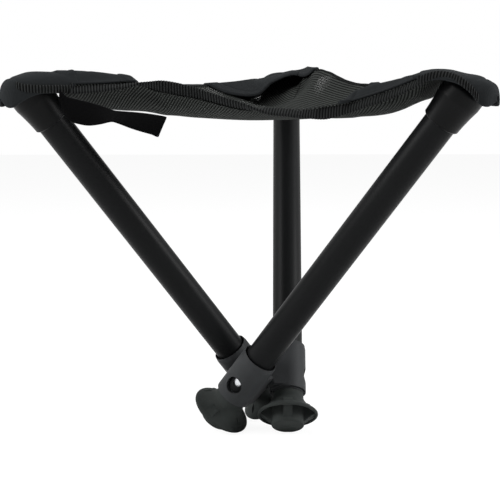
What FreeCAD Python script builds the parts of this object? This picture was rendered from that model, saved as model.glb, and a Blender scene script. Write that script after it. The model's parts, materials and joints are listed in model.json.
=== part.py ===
import FreeCAD, Part
import math
import os

# Folding three-legged stool with telescopic legs, stored open with its legs pushed in.
# Millimetres, +Z up. The origin is on the floor, below the centre of the hub.
# Each leg stands beside the hub and leans outward, so the three legs cross in a swirl.

V = FreeCAD.Vector

# The three legs, by the compass heading in degrees that each one's top leans towards
HEADINGS = {"right": 330.0, "rear": 90.0, "left": 210.0}

# Stance
LEG_TILT = 38.35
LEG_OFFSET = 23.7
RUBBER_SETTLE = 0.4

# Fits and gaps
RUNNING_GAP = 0.06
BUSH_GAP = 0.05
PRESS_GAP = 0.02
SOFT_GAP = 0.3
FACE_GAP = 0.1

# Tubes, outer radii and walls
UPPER_R = 12.5
MIDDLE_R = 11.0
LOWER_R = 9.5
TUBE_WALL = 1.2
UPPER_TOP = 301.0
MIDDLE_TOP_INSET = 31.0

# Telescope travel, from pushed in to the lock button in its hole
MIDDLE_TRAVEL = 168.0
LOWER_TRAVEL = 122.0

# Collar that carries the upper tube and pivots on the hub
COLLAR_R = 15.2
COLLAR_BOTTOM = -17.2
COLLAR_TOP = 25.0
COLLAR_MOUTH_R = 13.8
GUIDE_BOTTOM = -12.5
GUIDE_TOP = -8.5
FUNNEL_START = 15.0
FUNNEL_R = 14.2
COLLAR_CHAMFER = 3.5
COLLAR_CHAMFER_IN = 0.6
LUG_BOTTOM = -15.5
LUG_TOP = 14.0
WINDOW_R = 7.0
WINDOW_HEIGHT = -2.5
LOCK_HEIGHT = 0.4

# Hub, its pivot screws and their washers
HUB_FACE = 7.3
HUB_CORNER_R = 12.5
HUB_HALF_HEIGHT = 11.0
HUB_CHAMFER = 1.0
WASHER_T = 1.0
WASHER_R = 7.5
SCREW_HEAD_R = 5.0
SCREW_HEAD_T = 1.0
SCREW_SHANK_R = 3.0
SCREW_THREAD_R = 2.5
SCREW_TIP = 2.0
SCREW_SOCKET_R = 1.7
SCREW_SOCKET_DEPTH = 1.6

# Guide bushes on the tops of the inner tubes, and the ring at the middle tube's foot
BUSH_RISE = 10.0
BUSH_SPIGOT = 10.0
BUSH_WALL = 1.8
FERRULE_R = 13.2
FERRULE_TOP = GUIDE_BOTTOM
FERRULE_LAP = 3.0
FERRULE_LIP = 3.0

# Lock buttons and their leaf springs
MIDDLE_BUTTON_R = 3.8
LOWER_BUTTON_R = 3.4
BUTTON_HOLE_GAP = 0.1
BUTTON_REACH_GAP = 0.1
BUTTON_DEPTH = 4.0
BUTTON_FLANGE_T = 1.0
BUTTON_FLANGE_LAP = 1.4
BUTTON_CLEARANCE = 4.2
LEAF_T = 0.5
LEAF_WIDTH = 6.0
LEAF_LENGTH = 30.0

# Top sleeve of each leg
CAP_LAP = 29.0
CAP_RIM_R = 14.5
CAP_WIDE_R = 16.8
CAP_SHOULDER = 7.0
CAP_TOP_WALL = 4.5
CAP_EDGE = 4.0
CAP_RIM_CHAMFER = 0.8

# Rubber foot
FOOT_NECK_R = 13.15
FOOT_FLARE = -24.0
SKIRT_R = 25.0
SKIRT_RIM = -36.85
SKIRT_LIP_R = 1.3
SKIRT_WALL = 2.6
PLUG_R = 13.5
PLUG_EDGE = 2.0
PLUG_FLOOR = 4.0
FOOT_WEBS = 4
WEB_WIDTH = 7.4

# Seat cloth: heights are above the hub, plan sizes are from the hub's centre line.
# The bag's and the rise's ends are shares of the way out to a tip.
SEAT_EDGE_HEIGHT = 241.5
SEAT_CORNER_RISE = 6.0
SEAT_FLOOR = 209.0
SEAT_BAG_LENGTH = 24.0
BAG_END = 0.42
BAG_GONE = 0.8
RISE_START = 0.6
RISE_END = 0.82
SEAT_TIP_R = 205.0
SEAT_EDGE_R = 84.0
SEAT_START = 163.0
SEAT_START_HALF = 27.0
SEAT_SEAM_GAP = 0.25
MESH_T = 1.2
PATCH_T = 1.8
BINDING_T = 2.6
BINDING_WIDTH = 9.0
HEM_MIDDLE = 112.0
HEM_SHARE = 0.5
SEAT_RINGS = (0.42, 0.74)

# The front edge hangs slack: how far, where along x, and how wide to each side
FRONT_DROP = 25.0
FRONT_DROP_X = 48.0
FRONT_DROP_LEFT = 75.0
FRONT_DROP_RIGHT = 50.0
FRONT_DROP_DEPTH = 45.0

# Cloth pockets that hold the tops of the legs
POCKET_CLOTH = 1.5
POCKET_CORNER = 3.5
POCKET_SECTIONS = [
    (SEAT_START, 27.5, 237.0, 249.5),
    (178.0, 26.0, 230.0, 253.4),
    (195.0, 23.0, 224.5, 251.5),
    (209.0, 14.0, 228.0, 242.5),
]

# Closing strap, sewn to the left pocket: stations of x, y, lower edge, upper edge
STRAP_T = 1.6
STRAP_STATIONS = [
    (-148.0, -89.9, 219.0, 238.0),
    (-139.0, -89.4, 215.5, 234.0),
    (-124.0, -89.6, 212.0, 231.0),
    (-108.0, -90.6, 214.0, 229.0),
    (-97.0, -89.6, 211.5, 226.0),
    (-80.0, -90.6, 205.0, 222.0),
    (-69.0, -89.6, 212.5, 218.0),
]

# Sizes that follow from the ones above
TILT = math.radians(LEG_TILT)
UPPER_BORE = UPPER_R - TUBE_WALL
MIDDLE_BORE = MIDDLE_R - TUBE_WALL
LOWER_BORE = LOWER_R - TUBE_WALL
GUIDE_R = MIDDLE_R + RUNNING_GAP
RIM_CENTRE_R = SKIRT_R - SKIRT_LIP_R
RUBBER_DROP = -SKIRT_RIM * math.cos(TILT) + RIM_CENTRE_R * math.sin(TILT) + SKIRT_LIP_R
HUB_HEIGHT = RUBBER_DROP - RUBBER_SETTLE
PLUG_END = -PLUG_EDGE - (
    RUBBER_DROP - PLUG_EDGE - (PLUG_R - PLUG_EDGE) * math.sin(TILT)
) / math.cos(TILT)
FERRULE_BOTTOM = FERRULE_TOP - FERRULE_LAP - FERRULE_LIP
MIDDLE_BOTTOM = FERRULE_TOP - FERRULE_LAP
LOWER_BOTTOM = PLUG_END + PLUG_FLOOR
LUG_FACE = LEG_OFFSET - HUB_FACE - WASHER_T - FACE_GAP
HEAD_START = UPPER_R + FACE_GAP
CAP_BOTTOM = UPPER_TOP - CAP_LAP
CAP_WIDE = UPPER_TOP - CAP_SHOULDER
MIDDLE_TOP = UPPER_TOP - MIDDLE_TOP_INSET
MIDDLE_BUTTON = LOCK_HEIGHT + MIDDLE_TRAVEL
LOWER_TOP = (
    MIDDLE_BUTTON - MIDDLE_BUTTON_R - BUTTON_FLANGE_LAP - BUTTON_CLEARANCE - BUSH_RISE
)
LOWER_BUTTON = LOWER_TOP - BUSH_SPIGOT - LOWER_BUTTON_R - 2 * BUTTON_FLANGE_LAP
LOWER_WINDOW = LOWER_BUTTON - LOWER_TRAVEL
TIP_AZIMUTH = -math.degrees(math.atan2(LEG_OFFSET, UPPER_TOP * math.sin(TILT)))
HALF_THIRD = 180.0 / len(HEADINGS)


# Placing

def on_leg(shape, heading):
    """From the leg's own frame, x outward, y towards the hub and z up the leg, to its place."""
    placed = shape.copy()
    placed.translate(V(0, -LEG_OFFSET, 0))
    placed.rotate(V(0, 0, 0), V(0, 1, 0), LEG_TILT)
    placed.rotate(V(0, 0, 0), V(0, 0, 1), heading)
    placed.translate(V(0, 0, HUB_HEIGHT))
    return placed


def on_seat(shape, heading):
    """From a frame level with the hub, x towards the leg's top, to its place."""
    placed = shape.copy()
    placed.rotate(V(0, 0, 0), V(0, 0, 1), heading)
    placed.translate(V(0, 0, HUB_HEIGHT))
    return placed


def turned(x, y, degrees):
    angle = math.radians(degrees)
    return (
        x * math.cos(angle) - y * math.sin(angle),
        x * math.sin(angle) + y * math.cos(angle),
    )


# Round pieces, about the z axis

def rod(radius, low, high):
    return Part.makeCylinder(radius, high - low, V(0, 0, low))


def tube(outer, inner, low, high):
    return rod(outer, low, high).cut(rod(inner, low - 1, high + 1))


def cone(low_r, high_r, low, high):
    return Part.makeCone(low_r, high_r, high - low, V(0, 0, low))


def side_rod(radius, start, end, height):
    """A round bar along y, across the leg."""
    return Part.makeCylinder(radius, end - start, V(0, start, height), V(0, 1, 0))


def revolved(edges):
    face = Part.Face(Part.Wire(edges))
    return face.revolve(V(0, 0, 0), V(0, 0, 1), 360)


def line(a, b):
    return Part.LineSegment(V(a[0], 0, a[1]), V(b[0], 0, b[1])).toShape()


def arc(a, b, c):
    return Part.Arc(V(a[0], 0, a[1]), V(b[0], 0, b[1]), V(c[0], 0, c[1])).toShape()


def single(shape):
    """The one solid that a boolean leaves."""
    return shape.removeSplitter().Solids[0]


# Leg pieces

def collar():
    body = rod(COLLAR_R, COLLAR_BOTTOM, COLLAR_TOP - COLLAR_CHAMFER)
    body = body.fuse(
        cone(COLLAR_R, COLLAR_R - COLLAR_CHAMFER_IN, COLLAR_TOP - COLLAR_CHAMFER, COLLAR_TOP)
    )
    lug = Part.makeBox(
        2 * COLLAR_R, LUG_FACE, LUG_TOP - LUG_BOTTOM, V(-COLLAR_R, 0, LUG_BOTTOM)
    )
    # The neighbouring lug lies beyond a cone about the pivot, half a third wide each way
    spread = math.tan(math.radians(HALF_THIRD))
    reach = Part.makeCone(
        spread * LEG_OFFSET - 2 * SOFT_GAP,
        spread * (LEG_OFFSET - LUG_FACE) - 2 * SOFT_GAP,
        LUG_FACE,
        V(0, 0, 0),
        V(0, 1, 0),
    )
    body = body.fuse(lug.common(reach))
    body = body.cut(rod(COLLAR_MOUTH_R, COLLAR_BOTTOM - 1, GUIDE_BOTTOM))
    body = body.cut(rod(GUIDE_R, GUIDE_BOTTOM - 1, GUIDE_TOP + 1))
    body = body.cut(rod(UPPER_R + PRESS_GAP, GUIDE_TOP, COLLAR_TOP + 1))
    body = body.cut(cone(UPPER_R + PRESS_GAP, FUNNEL_R, FUNNEL_START, COLLAR_TOP))
    body = body.cut(side_rod(WINDOW_R, -2 * COLLAR_R, -GUIDE_R / 2, WINDOW_HEIGHT))
    body = body.cut(side_rod(SCREW_HEAD_R + RUNNING_GAP, 0, HEAD_START + SCREW_HEAD_T, 0))
    return single(body.cut(side_rod(SCREW_SHANK_R + RUNNING_GAP, 0, 2 * LEG_OFFSET, 0)))


def pivot_screw():
    head = HEAD_START
    neck = head + SCREW_HEAD_T
    tip = LEG_OFFSET - SCREW_TIP
    screw = side_rod(SCREW_HEAD_R, head, neck - PRESS_GAP, 0)
    screw = screw.fuse(side_rod(SCREW_SHANK_R, neck - 1, LEG_OFFSET - HUB_FACE, 0))
    screw = screw.fuse(side_rod(SCREW_THREAD_R, LEG_OFFSET - HUB_FACE - 1, tip, 0))
    socket = Part.makePolygon([
        V(
            SCREW_SOCKET_R * math.cos(math.radians(60 * corner)),
            head - 1,
            SCREW_SOCKET_R * math.sin(math.radians(60 * corner)),
        )
        for corner in range(7)
    ])
    recess = Part.Face(socket).extrude(V(0, SCREW_SOCKET_DEPTH + 1, 0))
    return single(screw.cut(recess))


def pivot_washer():
    start = LEG_OFFSET - HUB_FACE - WASHER_T
    disc = side_rod(WASHER_R, start, start + WASHER_T, 0)
    return disc.cut(side_rod(SCREW_SHANK_R + RUNNING_GAP, start - 1, start + WASHER_T + 1, 0))


def upper_tube():
    body = tube(UPPER_R, UPPER_BORE, GUIDE_TOP, UPPER_TOP)
    hole = MIDDLE_BUTTON_R + BUTTON_HOLE_GAP
    return single(body.cut(side_rod(hole, -2 * UPPER_R, 0, LOCK_HEIGHT)))


def middle_tube():
    body = tube(MIDDLE_R, MIDDLE_BORE, MIDDLE_BOTTOM, MIDDLE_TOP)
    hole = MIDDLE_BUTTON_R + BUTTON_HOLE_GAP
    body = body.cut(side_rod(hole, -2 * MIDDLE_R, 0, MIDDLE_BUTTON))
    hole = LOWER_BUTTON_R + BUTTON_HOLE_GAP
    return single(body.cut(side_rod(hole, -2 * MIDDLE_R, 0, LOWER_WINDOW)))


def lower_tube():
    body = tube(LOWER_R, LOWER_BORE, LOWER_BOTTOM, LOWER_TOP)
    hole = LOWER_BUTTON_R + BUTTON_HOLE_GAP
    return single(body.cut(side_rod(hole, -2 * LOWER_R, 0, LOWER_BUTTON)))


def guide_bush(outer_bore, own_bore, tube_top):
    """Plastic ring that stands on an inner tube's top and runs in the tube outside it."""
    spigot = own_bore - PRESS_GAP
    bore = spigot - BUSH_WALL
    body = rod(outer_bore - BUSH_GAP, tube_top, tube_top + BUSH_RISE)
    body = body.fuse(rod(spigot, tube_top - BUSH_SPIGOT, tube_top))
    return single(body.cut(rod(bore, tube_top - BUSH_SPIGOT - 1, tube_top + BUSH_RISE + 1)))


def middle_ferrule():
    body = rod(FERRULE_R, FERRULE_BOTTOM, FERRULE_TOP)
    body = body.cut(rod(MIDDLE_R + PRESS_GAP, MIDDLE_BOTTOM, FERRULE_TOP + 1))
    return single(body.cut(rod(LOWER_R + RUNNING_GAP, FERRULE_BOTTOM - 1, MIDDLE_BOTTOM + 1)))


def lock_button(radius, reach, own_bore, height):
    """Round head that comes through its own tube's wall, with a flange that stays inside."""
    face = -(reach - BUTTON_REACH_GAP)
    back = face + BUTTON_DEPTH
    head = side_rod(radius, face - 1, back, height)
    head = head.common(rod(-face, height - 2 * radius, height + 2 * radius))
    wide = radius + BUTTON_FLANGE_LAP
    flange = Part.makeBox(
        2 * wide, BUTTON_FLANGE_T, 2 * wide, V(-wide, back - BUTTON_FLANGE_T, height - wide)
    )
    inside = rod(own_bore - FACE_GAP, height - 2 * wide, height + 2 * wide)
    return single(head.fuse(flange.common(inside)))


def leaf_spring(reach, own_bore, height, way):
    """Bent strip that bears on the tube's far wall and pushes the button out.

    Its bend is above the button where way is 1, and below it where way is -1.
    """
    front = -(reach - BUTTON_REACH_GAP) + BUTTON_DEPTH
    half = LEAF_WIDTH / 2
    wall = math.sqrt((own_bore - FACE_GAP) ** 2 - half ** 2)
    bend = wall - 3 * LEAF_T
    corners = [
        (front, -half),
        (front, half),
        (bend - LEAF_T, LEAF_LENGTH),
        (wall, LEAF_LENGTH),
        (wall, -half),
        (wall - LEAF_T, -half),
        (wall - LEAF_T, LEAF_LENGTH - LEAF_T),
        (bend, LEAF_LENGTH - LEAF_T),
        (front + LEAF_T, half),
        (front + LEAF_T, -half),
    ]
    outline = Part.makePolygon([
        V(-half, y, height + way * rise) for y, rise in corners + corners[:1]
    ])
    return Part.Face(outline).extrude(V(LEAF_WIDTH, 0, 0))


def top_cap():
    top = UPPER_TOP + CAP_TOP_WALL
    bore = UPPER_R + PRESS_GAP
    middle = (CAP_BOTTOM + CAP_WIDE) / 2
    swell = (CAP_RIM_R + CAP_WIDE_R) / 2 - (CAP_WIDE_R - CAP_RIM_R) / 6
    turn = CAP_EDGE * (1 - math.sqrt(0.5))
    edges = [
        line((bore, CAP_BOTTOM), (CAP_RIM_R - CAP_RIM_CHAMFER, CAP_BOTTOM)),
        line((CAP_RIM_R - CAP_RIM_CHAMFER, CAP_BOTTOM), (CAP_RIM_R, CAP_BOTTOM + CAP_RIM_CHAMFER)),
        arc((CAP_RIM_R, CAP_BOTTOM + CAP_RIM_CHAMFER), (swell, middle), (CAP_WIDE_R, CAP_WIDE)),
        line((CAP_WIDE_R, CAP_WIDE), (CAP_WIDE_R, top - CAP_EDGE)),
        arc(
            (CAP_WIDE_R, top - CAP_EDGE),
            (CAP_WIDE_R - turn, top - turn),
            (CAP_WIDE_R - CAP_EDGE, top),
        ),
        line((CAP_WIDE_R - CAP_EDGE, top), (0, top)),
        line((0, top), (0, UPPER_TOP)),
        line((0, UPPER_TOP), (bore, UPPER_TOP)),
        line((bore, UPPER_TOP), (bore, CAP_BOTTOM)),
    ]
    return revolved(edges)


def foot():
    """Rubber foot: a neck on the tube, a bell skirt round it and a plug that reaches the floor."""
    bore = LOWER_R + PRESS_GAP
    lip = SKIRT_LIP_R
    rim = SKIRT_RIM
    middle = (FOOT_NECK_R + SKIRT_R) / 2
    flare = (FOOT_FLARE + rim) / 2
    sag = (SKIRT_R - FOOT_NECK_R) / 9
    inner = SKIRT_R - 2 * lip
    ceiling = FOOT_FLARE - SKIRT_WALL
    turn = PLUG_EDGE * (1 - math.sqrt(0.5))
    edges = [
        line((bore, FERRULE_BOTTOM), (FOOT_NECK_R, FERRULE_BOTTOM)),
        line((FOOT_NECK_R, FERRULE_BOTTOM), (FOOT_NECK_R, FOOT_FLARE)),
        arc((FOOT_NECK_R, FOOT_FLARE), (middle - sag, flare + sag), (SKIRT_R, rim)),
        arc((SKIRT_R, rim), (SKIRT_R - lip, rim - lip), (inner, rim)),
        arc(
            (inner, rim),
            (middle - sag - SKIRT_WALL / 2, flare + sag - SKIRT_WALL),
            (PLUG_R, ceiling),
        ),
        line((PLUG_R, ceiling), (PLUG_R, PLUG_END + PLUG_EDGE)),
        arc(
            (PLUG_R, PLUG_END + PLUG_EDGE),
            (PLUG_R - turn, PLUG_END + turn),
            (PLUG_R - PLUG_EDGE, PLUG_END),
        ),
        line((PLUG_R - PLUG_EDGE, PLUG_END), (0, PLUG_END)),
        line((0, PLUG_END), (0, LOWER_BOTTOM)),
        line((0, LOWER_BOTTOM), (bore, LOWER_BOTTOM)),
        line((bore, LOWER_BOTTOM), (bore, FERRULE_BOTTOM)),
    ]
    body = revolved(edges)
    inside = PLUG_R - PLUG_EDGE
    web = Part.Face(Part.makePolygon([
        V(inside, -WEB_WIDTH / 2, ceiling + lip),
        V(middle - sag, -WEB_WIDTH / 2, flare + sag - SKIRT_WALL / 2),
        V(inner + lip, -WEB_WIDTH / 2, rim + lip),
        V(inner + lip / 2, -WEB_WIDTH / 2, rim),
        V(inside, -WEB_WIDTH / 2, PLUG_END + PLUG_EDGE),
        V(inside, -WEB_WIDTH / 2, ceiling + lip),
    ])).extrude(V(0, WEB_WIDTH, 0))
    for number in range(FOOT_WEBS):
        turned_web = web.copy()
        turned_web.rotate(V(0, 0, 0), V(0, 0, 1), number * 360 / FOOT_WEBS)
        body = body.fuse(turned_web)
    return single(body)


# The rubber settles flat on the floor under the stool's weight
def settled(shape):
    box = shape.BoundBox
    margin = 5.0
    below = Part.makeBox(
        box.XLength + 2 * margin,
        box.YLength + 2 * margin,
        margin,
        V(box.XMin - margin, box.YMin - margin, -margin),
    )
    return single(shape.cut(below))


# Hub

def hub():
    """Three flat faces, one for each leg's pivot, on a short post."""
    height = 2 * HUB_HALF_HEIGHT
    post = Part.makeCylinder(HUB_CORNER_R, height, V(0, 0, HUB_HEIGHT - HUB_HALF_HEIGHT))
    post = post.makeChamfer(HUB_CHAMFER, post.Edges)
    for heading in HEADINGS.values():
        waste = Part.makeBox(
            4 * HUB_CORNER_R,
            HUB_CORNER_R,
            height + 2,
            V(-2 * HUB_CORNER_R, -HUB_FACE - HUB_CORNER_R, -HUB_HALF_HEIGHT - 1),
        )
        post = post.cut(on_seat(waste, heading))
        hole = side_rod(
            SCREW_THREAD_R + PRESS_GAP,
            -HUB_FACE - 1,
            -SCREW_TIP + FACE_GAP,
            0,
        )
        post = post.cut(on_seat(hole, heading))
    return single(post)


# Seat cloth

def smooth(low, high, value):
    share = min(max((value - low) / (high - low), 0.0), 1.0)
    return share * share * (3 - 2 * share)


def edge_circle():
    """Radius of the hollow edges' curve, and how far its centre is from the hub's centre line."""
    ends = [
        turned(SEAT_START, SEAT_START_HALF - LEG_OFFSET, -HALF_THIRD - TIP_AZIMUTH),
        turned(SEAT_START, -SEAT_START_HALF - LEG_OFFSET, HALF_THIRD - TIP_AZIMUTH),
    ]
    chord = (ends[0][0] + ends[1][0]) / 2
    half = abs(ends[1][1] - ends[0][1]) / 2
    hollow = chord - SEAT_EDGE_R
    radius = (half ** 2 + hollow ** 2) / (2 * hollow)
    return radius, SEAT_EDGE_R + radius


def inside_edge(x, y, facing):
    """How far a point of the plan lies inside the hollow edge that faces a heading."""
    radius, reach = edge_circle()
    along, across = turned(x, y, -facing)
    return math.hypot(reach - along, across) - radius


def edge_spot(heading, side, share, inset):
    """Plan point beside a leg's hollow edge: share 0 is the edge's middle, and 1 its corner."""
    radius, reach = edge_circle()
    facing = heading + TIP_AZIMUTH + HALF_THIRD * side
    centre = turned(reach, 0, facing)
    corner = turned(SEAT_START, side * SEAT_START_HALF - LEG_OFFSET, heading)
    if share == 1:
        out = SEAT_START - SOFT_GAP
        return turned(out, side * (SEAT_START_HALF - inset) - LEG_OFFSET, heading)
    spread = math.degrees(math.atan2(corner[1] - centre[1], corner[0] - centre[0])) - facing - 180
    spread = (spread + 180) % 360 - 180
    x, y = turned(radius + inset, 0, facing + 180 + spread * share)
    spot = (centre[0] + x, centre[1] + y)
    return off_seam(spot, heading) if share == 0 else spot


def off_seam(spot, heading):
    """A point on the seams between the thirds, moved into a leg's own third."""
    x, y = turned(SEAT_SEAM_GAP / math.sin(math.radians(HALF_THIRD)), 0, heading + TIP_AZIMUTH)
    return spot[0] + x, spot[1] + y


def seat_height(x, y):
    """Height above the hub: taut edges, a mesh that bags below them, and a slack front edge."""
    edge = SEAT_EDGE_HEIGHT
    bag = 1.0
    for heading in HEADINGS.values():
        tip = heading + TIP_AZIMUTH
        along = turned(x, y, -tip)[0] / SEAT_TIP_R
        edge += SEAT_CORNER_RISE * smooth(RISE_START, RISE_END, along)
        depth = inside_edge(x, y, tip + HALF_THIRD)
        slack = math.copysign(1 - math.exp(-abs(depth) / SEAT_BAG_LENGTH), depth)
        bag *= slack * (1 - smooth(BAG_END, BAG_GONE, along))
    front = max(inside_edge(x, y, 270 + TIP_AZIMUTH), 0.0) / FRONT_DROP_DEPTH
    wide = FRONT_DROP_LEFT if x < FRONT_DROP_X else FRONT_DROP_RIGHT
    across = (x - FRONT_DROP_X) / wide
    edge -= FRONT_DROP * math.exp(-across ** 2 - front ** 2)
    return edge + (SEAT_FLOOR - edge) * bag


def facet(*corners):
    return Part.Face(Part.makePolygon(list(corners) + [corners[0]]))


def plate(plan, triangles, thickness):
    """Closed thin solid with flat facets, over plan points at the cloth's height."""
    top = [V(x, y, HUB_HEIGHT + seat_height(x, y) + thickness / 2) for x, y in plan]
    low = [point - V(0, 0, thickness) for point in top]
    faces = []
    rim = set()
    for a, b, c in triangles:
        if (top[b] - top[a]).cross(top[c] - top[a]).z < 0:
            b, c = c, b
        faces.append(facet(top[a], top[b], top[c]))
        faces.append(facet(low[a], low[c], low[b]))
        for start, end in ((a, b), (b, c), (c, a)):
            if (end, start) in rim:
                rim.remove((end, start))
            else:
                rim.add((start, end))
    for start, end in sorted(rim):
        faces.append(facet(top[start], low[start], low[end], top[end]))
    shell = Part.makeShell(faces)
    shell.sewShape()
    solid = Part.makeSolid(shell)
    return solid if solid.Volume > 0 else solid.reversed()


def strip(columns, start, first):
    """Triangles between two rows of as many points, numbered from start and from first."""
    triangles = []
    for number in range(columns - 1):
        a, b = start + number, first + number
        triangles += [(a, b, b + 1), (a, b + 1, a + 1)]
    return triangles


def hem_middle(heading, out):
    return turned(out, -LEG_OFFSET * out / SEAT_START, heading)


def seat_mesh(heading):
    """Rings of facets from the seat's middle out to the edge tape and the corner's hem."""
    shares = (0, HEM_SHARE / 2, HEM_SHARE)
    rim = [edge_spot(heading, -1, share, BINDING_WIDTH) for share in shares]
    rim.append(hem_middle(heading, HEM_MIDDLE))
    rim += [edge_spot(heading, 1, share, BINDING_WIDTH) for share in reversed(shares)]
    columns = len(rim)
    centre = off_seam((0.0, 0.0), heading)
    plan = [centre]
    for share in SEAT_RINGS + (1.0,):
        for x, y in rim:
            plan.append((
                centre[0] + (x - centre[0]) * share, centre[1] + (y - centre[1]) * share
            ))
    triangles = [(0, number, number + 1) for number in range(1, columns)]
    for ring in range(len(SEAT_RINGS)):
        triangles += strip(columns, 1 + ring * columns, 1 + (ring + 1) * columns)
    return plate(plan, triangles, MESH_T)


def corner_patch(heading):
    plan = []
    for share in (HEM_SHARE, (HEM_SHARE + 1) / 2, 1):
        out = HEM_MIDDLE + (SEAT_START - SOFT_GAP - HEM_MIDDLE) * (share - HEM_SHARE) / (
            1 - HEM_SHARE
        )
        plan.append(edge_spot(heading, -1, share, BINDING_WIDTH))
        plan.append(hem_middle(heading, out))
        plan.append(edge_spot(heading, 1, share, BINDING_WIDTH))
    return plate(plan, strip(3, 0, 3) + strip(3, 3, 6), PATCH_T)


def edge_binding(heading):
    """Tape along the two stretches of edge that belong to one leg's third."""
    shares = [HEM_SHARE * step / 2 for step in range(3)]
    shares += [(HEM_SHARE + 1) / 2, 1]
    pieces = []
    for side in (-1, 1):
        plan = [edge_spot(heading, side, share, BINDING_WIDTH) for share in shares]
        plan += [edge_spot(heading, side, share, 0.0) for share in shares]
        pieces.append(plate(plan, strip(len(shares), 0, len(shares)), BINDING_T))
    return Part.makeCompound(pieces)


def pocket_section(at, half, low, high, corner):
    """Upright rectangle with cut corners, across a pocket."""
    middle = -LEG_OFFSET
    spots = [
        (-half, low + corner), (-half, high - corner), (corner - half, high),
        (half - corner, high), (half, high - corner), (half, low + corner),
        (half - corner, low), (corner - half, low),
    ]
    points = [V(at, middle + y, z) for y, z in spots]
    return Part.makePolygon(points + points[:1])


def pocket_form(inset):
    wires = []
    last = len(POCKET_SECTIONS) - 1
    for number, (at, half, low, high) in enumerate(POCKET_SECTIONS):
        shift = inset if number == 0 else -inset if number == last else 0.0
        wires.append(pocket_section(
            at + shift, half - inset, low + inset, high - inset, POCKET_CORNER - inset
        ))
    return Part.makeLoft(wires, True, True)


def seat_pocket():
    """Cloth pocket, open below where the leg comes in."""
    body = pocket_form(0.0).cut(pocket_form(POCKET_CLOTH))
    top = UPPER_TOP + CAP_TOP_WALL - CAP_EDGE / 2
    mouth = rod(CAP_WIDE_R + SOFT_GAP, UPPER_TOP / 2, top)
    mouth.translate(V(0, -LEG_OFFSET, 0))
    mouth.rotate(V(0, 0, 0), V(0, 1, 0), LEG_TILT)
    return single(body.cut(mouth))


def closing_strap():
    wires = []
    half = STRAP_T / 2
    for x, y, low, high in STRAP_STATIONS:
        corners = [
            V(x, y - half, low),
            V(x, y + half, low),
            V(x, y + half, high),
            V(x, y - half, high),
        ]
        wires.append(Part.makePolygon(corners + corners[:1]))
    strap = Part.makeLoft(wires, True, True)
    strap.translate(V(0, 0, HUB_HEIGHT))
    return strap


# Assembly

def leg_pieces():
    return {
        "collar": collar(),
        "upper_tube": upper_tube(),
        "top_cap": top_cap(),
        "middle_tube": middle_tube(),
        "middle_bush": guide_bush(UPPER_BORE, MIDDLE_BORE, MIDDLE_TOP),
        "middle_ferrule": middle_ferrule(),
        "middle_button": lock_button(MIDDLE_BUTTON_R, UPPER_BORE, MIDDLE_BORE, MIDDLE_BUTTON),
        "middle_spring": leaf_spring(UPPER_BORE, MIDDLE_BORE, MIDDLE_BUTTON, 1),
        "lower_tube": lower_tube(),
        "lower_bush": guide_bush(MIDDLE_BORE, LOWER_BORE, LOWER_TOP),
        "lower_button": lock_button(LOWER_BUTTON_R, MIDDLE_BORE, LOWER_BORE, LOWER_BUTTON),
        "lower_spring": leaf_spring(MIDDLE_BORE, LOWER_BORE, LOWER_BUTTON, -1),
    }


def build():
    nodes = {"hub": hub()}
    screw = pivot_screw()
    washer = pivot_washer()
    nodes["pivot_screws"] = Part.makeCompound([on_leg(screw, h) for h in HEADINGS.values()])
    nodes["pivot_washers"] = Part.makeCompound([on_leg(washer, h) for h in HEADINGS.values()])
    pieces = leg_pieces()
    rubber = foot()
    pocket = seat_pocket()
    for side, heading in HEADINGS.items():
        for name, shape in pieces.items():
            nodes[name + "_" + side] = on_leg(shape, heading)
        nodes["foot_" + side] = settled(on_leg(rubber, heading))
        nodes["seat_pocket_" + side] = on_seat(pocket, heading)
        nodes["seat_mesh_" + side] = seat_mesh(heading)
        nodes["corner_patch_" + side] = corner_patch(heading)
        nodes["edge_binding_" + side] = edge_binding(heading)
    nodes["closing_strap"] = closing_strap()
    return nodes


os.makedirs("parts", exist_ok=True)
for node, shape in build().items():
    shape.exportStep("parts/" + node + ".step")
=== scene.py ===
import json
import math

import bmesh
import bpy
from bpy.props import FloatProperty, FloatVectorProperty, IntProperty, PointerProperty
from mathutils import Matrix, Vector, noise


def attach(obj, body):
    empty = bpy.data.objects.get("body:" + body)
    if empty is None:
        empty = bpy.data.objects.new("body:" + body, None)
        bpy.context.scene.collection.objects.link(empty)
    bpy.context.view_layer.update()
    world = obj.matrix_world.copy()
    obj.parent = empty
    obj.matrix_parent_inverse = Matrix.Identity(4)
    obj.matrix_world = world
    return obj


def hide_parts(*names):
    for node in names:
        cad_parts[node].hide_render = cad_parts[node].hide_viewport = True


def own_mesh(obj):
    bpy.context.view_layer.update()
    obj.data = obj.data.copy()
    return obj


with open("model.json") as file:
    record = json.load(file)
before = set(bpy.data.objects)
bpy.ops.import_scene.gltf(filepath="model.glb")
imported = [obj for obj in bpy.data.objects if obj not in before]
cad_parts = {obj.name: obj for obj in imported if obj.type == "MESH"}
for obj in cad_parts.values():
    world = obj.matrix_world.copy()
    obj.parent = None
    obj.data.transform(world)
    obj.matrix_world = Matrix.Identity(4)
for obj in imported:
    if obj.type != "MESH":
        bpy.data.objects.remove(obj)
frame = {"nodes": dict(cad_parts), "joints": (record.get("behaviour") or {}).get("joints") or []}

bl_info = {
    "name": "Folding Stool Looks",
    "version": (1, 0, 0),
    "blender": (4, 5, 0),
    "location": "View3D > Sidebar > Stool",
    "description": "Dresses a folding stool's solid model in cloth, rubber, plastic and metal",
    "category": "Object",
}

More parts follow.
